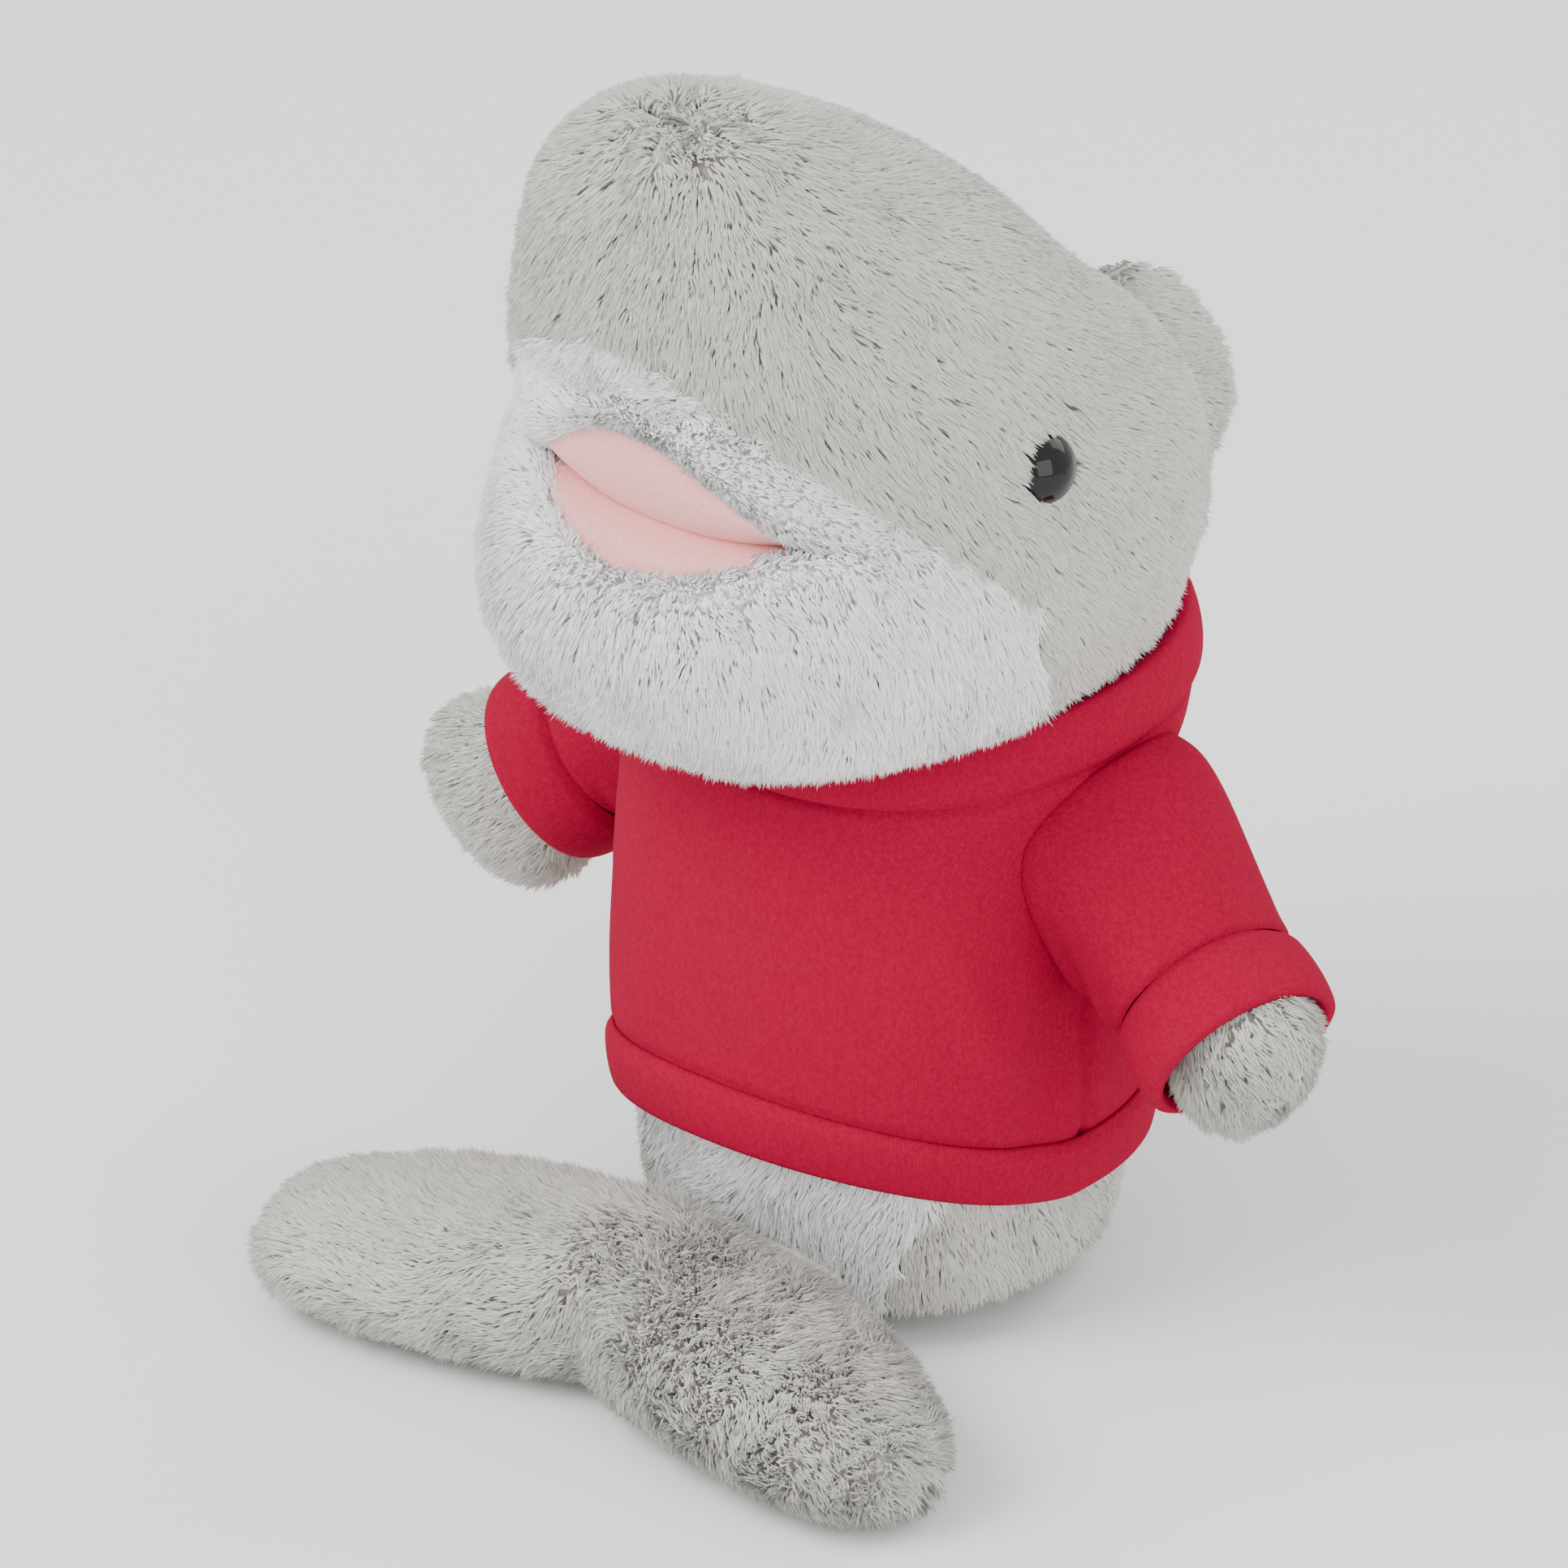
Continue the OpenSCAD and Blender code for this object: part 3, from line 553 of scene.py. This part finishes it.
def build_head():
    face = grid(band(HEAD, muzzle_top_z, face_top_z, -JAW_ANGLE, JAW_ANGLE), 170, 90)
    rear = grid(band(HEAD, head_low_z, face_top_z, JAW_ANGLE, 360 - JAW_ANGLE, REAR_TUCK), 170, 90)
    rear_under = grid(underside(HEAD, head_low_z, JAW_ANGLE, 360 - JAW_ANGLE, REAR_TUCK), 120, 8)
    nose = grid(nose_tip, 120, 12)
    muzzle = grid(band(CHIN, above_lip, muzzle_top_z, -JAW_ANGLE, JAW_ANGLE), 150, 26)
    upper_roll = grid(rolled_lip(CHIN, upper_lip_z, -1), 150, 12)
    chin = grid(band(CHIN, chin_low_z, below_lip, -JAW_ANGLE, JAW_ANGLE, TUCK), 150, 50)
    chin_under = grid(underside(CHIN, chin_low_z, -JAW_ANGLE, JAW_ANGLE, TUCK), 120, 8)
    lower_roll = grid(rolled_lip(CHIN, lower_lip_z, 1), 150, 12)
    roof_points = grid(lip_pad(upper_lip_z, 1), 120, 40)
    floor_points = grid(lip_pad(lower_lip_z, -1), 120, 40)
    head = cloth("head_backing", "head", GREY_BACKING, [face, rear, nose, rear_under])
    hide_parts("head_skin_left", "head_skin_right", "snout_gusset")
    upper = cloth("muzzle_backing", "head", WHITE_BACKING, [muzzle, upper_roll])
    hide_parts("muzzle_panel")
    lower = cloth("jaw_backing", "jaw", WHITE_BACKING, [chin, lower_roll, chin_under])
    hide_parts("jaw_panel", "jaw_stuffing")
    roof = cloth("mouth_roof_lining", "head", PINK_NAP, [roof_points])
    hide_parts("mouth_roof")
    floor = cloth("mouth_floor_lining", "jaw", PINK_NAP, [floor_points])
    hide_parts("mouth_floor")
    cloth("mouth_back_lining", "head", PINK_NAP, [grid(mouth_back, 60, 20)])
    for side, name in ((1, "left"), (-1, "right")):
        cheek = grid(behind_seam(side), 60, 14)
        cloth(f"{name}_cheek_backing", "head", WHITE_BACKING, [cheek])
    fur("head_fur", "head", GREY_FUR, [face, rear, nose], length=5.0, comb=grey_head_comb, seed=11,
        keep=clear_of_eyes, trim=short_at_nose)
    fur("muzzle_fur", "head", WHITE_FUR, [muzzle, upper_roll], length=5.4, comb=muzzle_comb, seed=12,
        trim=short_at_lips)
    fur("jaw_fur", "jaw", WHITE_FUR, [chin, lower_roll, chin_under], length=5.8, comb=muzzle_comb, seed=13,
        trim=short_at_lips)


THREAD_R = 0.35


def tube(path, radius):
    """A round tube along a path, as a grid of points."""
    along = unit(np.gradient(path, axis=0))
    side = unit(np.cross(along, [0.3, 0.2, 1.0]))
    other = np.cross(along, side)
    turn = np.linspace(0, 360, 9)[None, :, None]
    taper = radius * np.sin(np.pi * np.linspace(0.12, 0.88, len(path)))[:, None, None] ** 0.5
    return path[:, None] + taper * (cosd(turn) * side[:, None] + sind(turn) * other[:, None])


def build_nose_stitch():
    """Three short turns of thread that draw the panels together at the nose."""
    turns = []
    for k in range(3):
        s = np.linspace(-1, 1, 14)
        x = 2.6 * s + 0.5 * k
        y = -50.5 - 1.1 * k + 0.5 * s
        z = 224.6 + 0.8 * (1 - s ** 2) - 0.25 * k
        turns.append(tube(np.stack([x, y, z], 1), THREAD_R))
    stitch = cloth("nose_stitch", "head", THREAD, turns)
    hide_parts("nose_gather_stitch")


# ---- Dorsal fin ----------------------------------------------------------------------------

FIN_TOP = np.array([0, 56.0, 160.0])
FIN_BOTTOM = np.array([0, 61.0, 116.0])
# How far the fin reaches back from its root, from its top to its bottom.
FIN_REACH = [[2], [9], [14], [17.5], [20], [21.5], [21.5], [17], [8]]
FIN_HALF_T = 6.2
FIN_DEPTH = 2.4


def fin_point(u, v):
    """Around the fin (u) and down it (v), from behind the head's seam to the fin's edge."""
    root = mix(FIN_TOP, FIN_BOTTOM, v[..., None])
    half_t = FIN_HALF_T * mix(0.45, 1, smooth(0, 0.35, v)) * mix(1, 0.7, smooth(0.85, 1, v)) - FIN_DEPTH
    reach = spline(FIN_REACH, v * (len(FIN_REACH) - 1))[..., 0] + 1.0
    angle = mix(-125, 125, u)
    round_y = np.where(cosd(angle) < 0, 14 * cosd(angle), np.maximum(reach, 0.6) * cosd(angle))
    half_t = np.maximum(half_t, 0.4)
    return root + np.stack([-half_t * sind(angle), round_y, 0 * u], -1)


def fin_comb(p):
    return np.tile([0, 0.7, -0.5], (len(p), 1))


def build_fin():
    points = grid(fin_point, 60, 50)
    fin = cloth("fin_backing", "dorsal_fin", GREY_BACKING, [points])
    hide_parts("dorsal_fin_left_panel", "dorsal_fin_right_panel")
    fur("fin_fur", "dorsal_fin", GREY_FUR, [points], length=5.0, comb=fin_comb, seed=21)


# ---- Torso ---------------------------------------------------------------------------------

# Rings from the seat to the neck, in the same form as the head's.
BODY = [[4.6, 0, 33.5, 34.5], [10, 0, 37, 38], [22, 0, 39.5, 39], [40, 0, 40.5, 40], [60, 0, 40.5, 40.5],
        [80, 1, 40.5, 40.5], [94, 3, 40.5, 41.5], [103, 5, 41, 43.5], [111, 6, 41, 44], [122, 6, 40, 43]]
BODY_DEPTH = 3.2
SEAT_Z = 8
BODY_TOP_Z = 100
BELLY_MIDDLE = 10


def body_point(z, angle, depth):
    def skin(t, angle):
        return ring_point(BODY, t, angle)

    return inward(skin, spline_at(BODY, z), angle, depth)


def belly_edge(z):
    """The angle from the belly's middle to the seam between its white and the back's grey."""
    return mix(30, 56, smooth(SEAT_Z, 45, z))


def build_torso():
    def belly_point(u, v):
        z = mix(SEAT_Z, BODY_TOP_Z, v)
        return body_point(z, BELLY_MIDDLE + belly_edge(z) * (2 * u - 1), BODY_DEPTH)

    def back_point(u, v):
        z = mix(SEAT_Z, BODY_TOP_Z, v)
        return body_point(z, BELLY_MIDDLE + mix(belly_edge(z), 360 - belly_edge(z), u), BODY_DEPTH)

    def seat_point(u, v):
        return body_point(mix(1.5, SEAT_Z, v ** 0.7), 360 * u, BODY_DEPTH + 6 * (1 - v) ** 2)

    def under_point(u, v):
        return np.stack([28.5 * (1 - v) * sind(360 * u), -28 * (1 - v) * cosd(360 * u), 1.4 + 0 * u], -1)

    belly = grid(belly_point, 90, 70)
    back = grid(back_point, 140, 70)
    seat = grid(seat_point, 150, 12)
    under = grid(under_point, 100, 8)[:, ::-1]
    white = cloth("belly_backing", "torso", WHITE_BACKING, [belly])
    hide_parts("belly_panel")
    grey = cloth("body_backing", "torso", GREY_BACKING, [back, seat, under])
    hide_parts("body_back_panel", "body_base_panel")

    def low(p):
        angle = np.degrees(np.arctan2(p[:, 0], -p[:, 1]))
        return p[:, 2] < hem_z(angle) + 2.5

    def down(p):
        return unit(p * [1, 1, 0]) * 0.3 + [0, 0, -0.7]

    fur("belly_fur", "torso", WHITE_FUR, [belly], length=5.5, comb=down, seed=31, keep=low)
    fur("body_fur", "torso", GREY_FUR, [back, seat], length=4.6, comb=down, seed=32, keep=low)


# ---- Shirt ---------------------------------------------------------------------------------

KNIT_OUT = 2.6
SEAM_DEPTH = 0.9
SEAM_HALF_W = 0.9
SHOULDER = np.array([44, 8, 88.0])
HEM_H = 10.5
COLLAR_H = 12
COLLAR_INSIDE = 7
CUFF_W = 13
CUFF_INSIDE = 9
CUFF_R = 16.4
UNDERARM_Z = 63
SLEEVE_ANGLE = 93
FLIPPER_FORWARD = 15
# Each flipper's side, name and droop, the length to its cuff's edge, and the scale of its own size.
ARMS = ((1, "left", 31, 42.5, 0.87), (-1, "right", 38, 39, 1.0))


def hem_z(angle):
    return 25 + 13 * np.maximum(0, cosd(angle)) ** 1.2


def collar_seam_z(angle):
    return 106.5 - 3.8 * cosd(angle)


def armhole(turn, side):
    """The angle and height of the armhole seam, as turn runs round it from the top towards the front."""
    z = mix(UNDERARM_Z, collar_seam_z(90), 0.5 + 0.5 * lift(cosd(turn)))
    spread = mix(10, 28, smooth(60, 105, z))
    return side * (SLEEVE_ANGLE - spread * lift(sind(turn))), z


def folds(angle, z):
    """Soft folds in the shirt, in millimetres: pulls from under each arm, and slack over the hem."""
    side = np.abs(((angle + 180) % 360) - 180)
    under_arm = np.exp(-((side - 86 - (z - 60) * 0.25) / 7) ** 2) * np.exp(-((z - 52) / 16) ** 2)
    pull = np.exp(-((side - 66 + (z - 60) * 0.5) / 6) ** 2) * np.exp(-((z - 62) / 15) ** 2)
    slack = 0.7 * sind(angle * 3 + z * 4) * smooth(80, 40, z)
    return 1.2 * pull - 2.0 * under_arm + slack + 0.5 * sind(2 * angle + 2.9 * z)


def seam_dip(distance):
    """How deep the groove of a seam is at a distance from it."""
    return SEAM_DEPTH * np.exp(-(distance / SEAM_HALF_W) ** 2)


def shirt_point(u, v):
    angle = 360 * u + 180
    bottom = hem_z(angle)
    z = mix(bottom + HEM_H - 1.2, collar_seam_z(angle) + 1.5, v)
    dip = 0.5 * smooth(2, 0, z - bottom - HEM_H) + seam_dip(z - collar_seam_z(angle))
    side_angle = np.abs(((angle + 180) % 360) - 180)
    dip = dip + seam_dip((side_angle - 92) * 0.7) * smooth(66, 60, z)
    return body_point(z, angle, -KNIT_OUT - folds(angle, z) + dip)


def hem_point(u, v):
    angle = 360 * u + 180
    z = hem_z(angle) + HEM_H * np.clip(v * 1.25 - 0.25, 0, 1)
    turned = 1 - np.clip(v / 0.2, 0, 1)
    bulge = 0.7 * np.sin(np.pi * np.clip((v - 0.2) / 0.8, 0, 1)) ** 0.5
    dip = seam_dip(HEM_H * (1 - v))
    depth = -KNIT_OUT - 0.75 - bulge - folds(angle, z) + dip + 2.6 * turned
    return body_point(z + 0.8 * turned, angle, depth)


def collar_point(u, v):
    """The folded collar: from its seam up the outside, over the top and down inside."""
    angle = 360 * u + 180
    outside = np.clip(v / 0.62, 0, 1)
    z = collar_seam_z(angle) + (COLLAR_H * outside - COLLAR_INSIDE * np.clip((v - 0.75) / 0.25, 0, 1))
    over = smooth(0.58, 0.78, v)
    bulge = 0.6 + 1.0 * np.sin(np.pi * outside) ** 0.7
    depth = -KNIT_OUT - bulge + 0.9 * outside + 2.4 * over + seam_dip(COLLAR_H * v)
    return body_point(z, angle, depth)


def arm_frame(side, droop):
    """Axes of a flipper: along it, its front and its top."""
    forward = math.radians(FLIPPER_FORWARD)
    c, s = math.cos(forward), math.sin(forward)
    along = np.array([c, -s, 0])
    front = np.array([-s, -c, 0])
    d = math.radians(droop)
    down = np.array([0, 0, -1.0])
    out = along * math.cos(d) + down * math.sin(d)
    top = along * math.sin(d) - down * math.cos(d)
    flip = np.array([side, 1, 1])
    return SHOULDER * flip, out * flip, front * flip, top * flip


def hermite(start, stop, leave, arrive, s):
    """A curve from start to stop that leaves and arrives along the given directions."""
    return ((2 * s ** 3 - 3 * s ** 2 + 1) * start + (s ** 3 - 2 * s ** 2 + s) * leave
            + (3 * s ** 2 - 2 * s ** 3) * stop + (s ** 3 - s ** 2) * arrive)


def around(origin, along, axes, r, turn):
    """Points on circles of radius r about an arm, at distances along it."""
    out, front, top = axes
    return (origin + np.asarray(along)[..., None] * out + (r * cosd(turn))[..., None] * top
            + (r * sind(turn))[..., None] * front)


def sleeve_loft(side, droop, length):
    """From the armhole seam of the shirt to the cuff."""
    origin, out, front, top = arm_frame(side, droop)

    def place(u, v):
        turn = 360 * u * side
        angle, z = armhole(turn, side)
        start = body_point(z, angle, -KNIT_OUT + 0.6)
        stop = around(origin, length - CUFF_W + 0 * turn, (out, front, top), CUFF_R - 0.2, turn)
        span = np.linalg.norm(stop - start, axis=-1, keepdims=True)
        away = unit(start * [1, 0.35, 0]) * span * 0.75
        p = hermite(start, stop, away, out * span * 0.8, v[..., None])
        centre = origin + out * ((p - origin) @ out)[..., None]
        low_side = smooth(0.1, -0.8, cosd(turn))
        crease = 1.3 * low_side * np.sin(9 * v + 2.2 * sind(turn))
        crease = crease + 0.5 * np.sin(5 * v + 3 * sind(turn + 40))
        crease = crease * smooth(0, 0.25, v) * smooth(1, 0.8, v)
        seams = seam_dip(v * span[..., 0]) + seam_dip((1 - v) * span[..., 0])
        crease = crease - 0.8 * seams
        return p + crease[..., None] * unit(p - centre)
    return place


def cuff_loft(side, droop, length):
    """The folded cuff: outward over its width, round its edge and back inside."""
    origin, out, front, top = arm_frame(side, droop)

    def place(u, v):
        turn = 360 * u * side
        path = np.clip(v / 0.7, 0, 1)
        inside = np.clip((v - 0.76) / 0.24, 0, 1)
        along = length - CUFF_W + CUFF_W * path - CUFF_INSIDE * inside
        along = along + 0.5 * np.sin(np.pi * smooth(0.68, 0.8, v))
        r = CUFF_R + 0.9 * np.sin(np.pi * path) ** 0.6 + 0.5 * path
        r = r - 2.4 * smooth(0.68, 0.8, v) - seam_dip(CUFF_W * path) + 0.35 * sind(3 * turn + 30)
        return around(origin, along, (out, front, top), r, turn)
    return place


def build_shirt():
    body = cloth("shirt_body", "torso", RED_KNIT, [grid(shirt_point, 420, 110)], thick=1.2)
    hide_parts("shirt_front", "shirt_back")
    hem = cloth("shirt_hem", "torso", RED_KNIT, [grid(hem_point, 360, 26)], thick=1.0)
    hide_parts("hem_band")
    collar = cloth("shirt_collar", "torso", RED_KNIT, [grid(collar_point, 300, 34)])
    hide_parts("collar_band")
    for side, name, droop, length, _ in ARMS:
        sleeve_points = grid(sleeve_loft(side, droop, length), 150, 60)
        sleeve = cloth(f"{name}_sleeve_knit", None, RED_KNIT, [sleeve_points])
        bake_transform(sleeve)
        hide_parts(f"{name}_sleeve")
        cuff_points = grid(cuff_loft(side, droop, length), 120, 30)
        cuff = cloth(f"{name}_cuff_knit", f"{name}_flipper", RED_KNIT, [cuff_points])
        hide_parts(f"{name}_cuff")


# ---- Flippers ------------------------------------------------------------------------------

ARM_DEPTH = 1.6
# Rings along a flipper: [distance, half height, half thickness].
ARM = [[2, 11.5, 9.5], [14, 12.6, 10.5], [29, 13.2, 10], [41, 14, 10], [49, 16.5, 10.5], [55.5, 15, 9],
       [59.5, 9, 5.5], [61, 2.5, 2]]


def build_flippers():
    for side, name, droop, length, scale in ARMS:
        origin, out, front, top = arm_frame(side, droop)

        def arm_point(t, turn):
            r = spline(ARM, t)
            a = turn * side
            return (origin + scale * r[..., :1] * out + (r[..., 2] * lift(sind(a)))[..., None] * front
                    + (scale * r[..., 1] * lift(cosd(a)))[..., None] * top)

        def place(u, v):
            return inward(arm_point, mix(0.4, len(ARM) - 1.12, v), -360 * u, ARM_DEPTH)

        points = grid(place, 90, 60)
        arm = cloth(f"{name}_flipper_backing", f"{name}_flipper", GREY_BACKING, [points])
        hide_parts(f"{name}_flipper_front_panel", f"{name}_flipper_back_panel",
                    f"{name}_flipper_stuffing")

        def outside_cuff(p):
            return (p - origin) @ out > length - CUFF_INSIDE

        def comb(p):
            return np.tile(0.8 * out, (len(p), 1))

        fur(f"{name}_flipper_fur", f"{name}_flipper", GREY_FUR, [points], length=4.8, comb=comb,
            seed=41 + side, keep=outside_cuff)


# ---- Tail fluke ----------------------------------------------------------------------------

# Rings from the fluke's middle to each tip: [x, front y, rear y, height].
FLUKE = [[0, -77, -42.5, 30], [13.6, -83.5, -42.7, 29.4], [30.6, -88, -44, 27.5], [47.6, -89.5, -50, 24.5],
         [59.2, -87, -56, 20.5], [66, -78.5, -61, 14], [68, -72, -66, 4]]
FLUKE_T = 30
FLUKE_DEPTH = 3.2
# The fluke is turned by this angle about an upright line this far in front of the body's middle.
TAIL_TURN = 3
TAIL_PIVOT = 62


def build_fluke():
    turn = math.radians(TAIL_TURN)

    def fluke_point(t, angle):
        r = spline(FLUKE, np.abs(t))
        half_y = (r[..., 2] - r[..., 1]) / 2
        half_z = r[..., 3] / 2
        x = np.sign(t) * r[..., 0]
        y = r[..., 1] + half_y - half_y * lift(cosd(angle)) + TAIL_PIVOT
        z = 0.4 + half_z + (FLUKE_T - r[..., 3]) * 0.16 - half_z * lift(sind(angle))
        turned_x = x * math.cos(turn) - y * math.sin(turn)
        turned_y = x * math.sin(turn) + y * math.cos(turn)
        return np.stack([turned_x, turned_y - TAIL_PIVOT, z], -1)

    end = len(FLUKE) - 1.08
    points = grid(lambda u, v: inward(fluke_point, mix(-end, end, v), 360 * u, FLUKE_DEPTH), 110, 150)
    fluke = cloth("fluke_backing", "tail", GREY_BACKING, [points])
    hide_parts("fluke_top_panel", "fluke_bottom_panel")

    def outward(p):
        return unit((p - [0, -50, 10]) * [1.2, 1, 0.3]) * 0.7

    def root_point(u, v):
        x = 22 * lift(sind(360 * u))
        z = 12 + 8.5 * lift(cosd(360 * u))
        return np.stack([x, mix(-34, -49, v), z], -1)

    root = cloth("fluke_root", None, GREY_BACKING, [grid(root_point, 80, 16)])
    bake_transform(root)
    fur("fluke_fur", "tail", GREY_FUR, [points], length=5.4, comb=outward, seed=51)


# ---- The CAD pieces that stay, the room and the camera --------------------------------------

def dress_nodes():
    """Materials for the CAD nodes, of which only those that no piece replaces are seen."""
    looks = {"eye": BLACK_GLASS, "washer": WHITE_PLASTIC, "pouch": POUCH, "stitch": THREAD}
    for name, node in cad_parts.items():
        material = next((m for word, m in looks.items() if word in name), FILLING)
        node.data.materials.clear()
        node.data.materials.append(material)


def build_room():
    floor_material = cloth_material("pale paper", (0.86, 0.86, 0.86), (0.88, 0.88, 0.88), grain=3, bump=0.0,
                                    roughness=0.9, sheen=0.0)
    floor_points = np.array([[-3000, -3000, 0], [3000, -3000, 0], [3000, 3000, 0], [-3000, 3000, 0.0]])
    floor = mesh("floor", floor_points, np.array([[0, 1, 2, 3]]))
    floor.data.materials.append(floor_material)
    world = bpy.data.worlds.new("studio")
    bpy.context.scene.world = world
    world.use_nodes = True
    world.node_tree.nodes["Background"].inputs["Color"].default_value = (1, 1, 1, 1)
    world.node_tree.nodes["Background"].inputs["Strength"].default_value = 1.15
    lights = (("key", (-0.5, -1.1, 1.3), 0.9, 26),
              ("fill", (1.3, -0.6, 0.7), 1.2, 13),
              ("back", (0.2, 1.2, 1.1), 1.0, 8))
    for name, place, size, power in lights:
        data = bpy.data.lights.new(name, "AREA")
        data.size = size
        data.energy = power
        light = bpy.data.objects.new(name, data)
        light.location = place
        light.rotation_euler = (Vector((0, 0, 0.1)) - light.location).to_track_quat("-Z", "Y").to_euler()
        bpy.context.scene.collection.objects.link(light)


def build_camera():
    azimuth, elevation, distance = math.radians(42), math.radians(28), 2.5
    right = Vector((math.cos(azimuth), math.sin(azimuth), 0))
    back = Vector((math.sin(azimuth) * math.cos(elevation), -math.cos(azimuth) * math.cos(elevation),
                   math.sin(elevation)))
    up = back.cross(right)
    aim = Vector((0, 0, 0.097)) - 0.01667 * right - 0.00947 * up
    data = bpy.data.cameras.new("camera")
    data.sensor_width = 36
    data.lens = 349.4
    camera = bpy.data.objects.new("camera", data)
    camera.location = aim + distance * back
    camera.rotation_euler = (-back).to_track_quat("-Z", "Y").to_euler()
    bpy.context.scene.collection.objects.link(camera)
    bpy.context.scene.camera = camera


dress_nodes()
build_head()
build_nose_stitch()
build_fin()
build_torso()
build_shirt()
build_flippers()
build_fluke()
build_room()
build_camera()
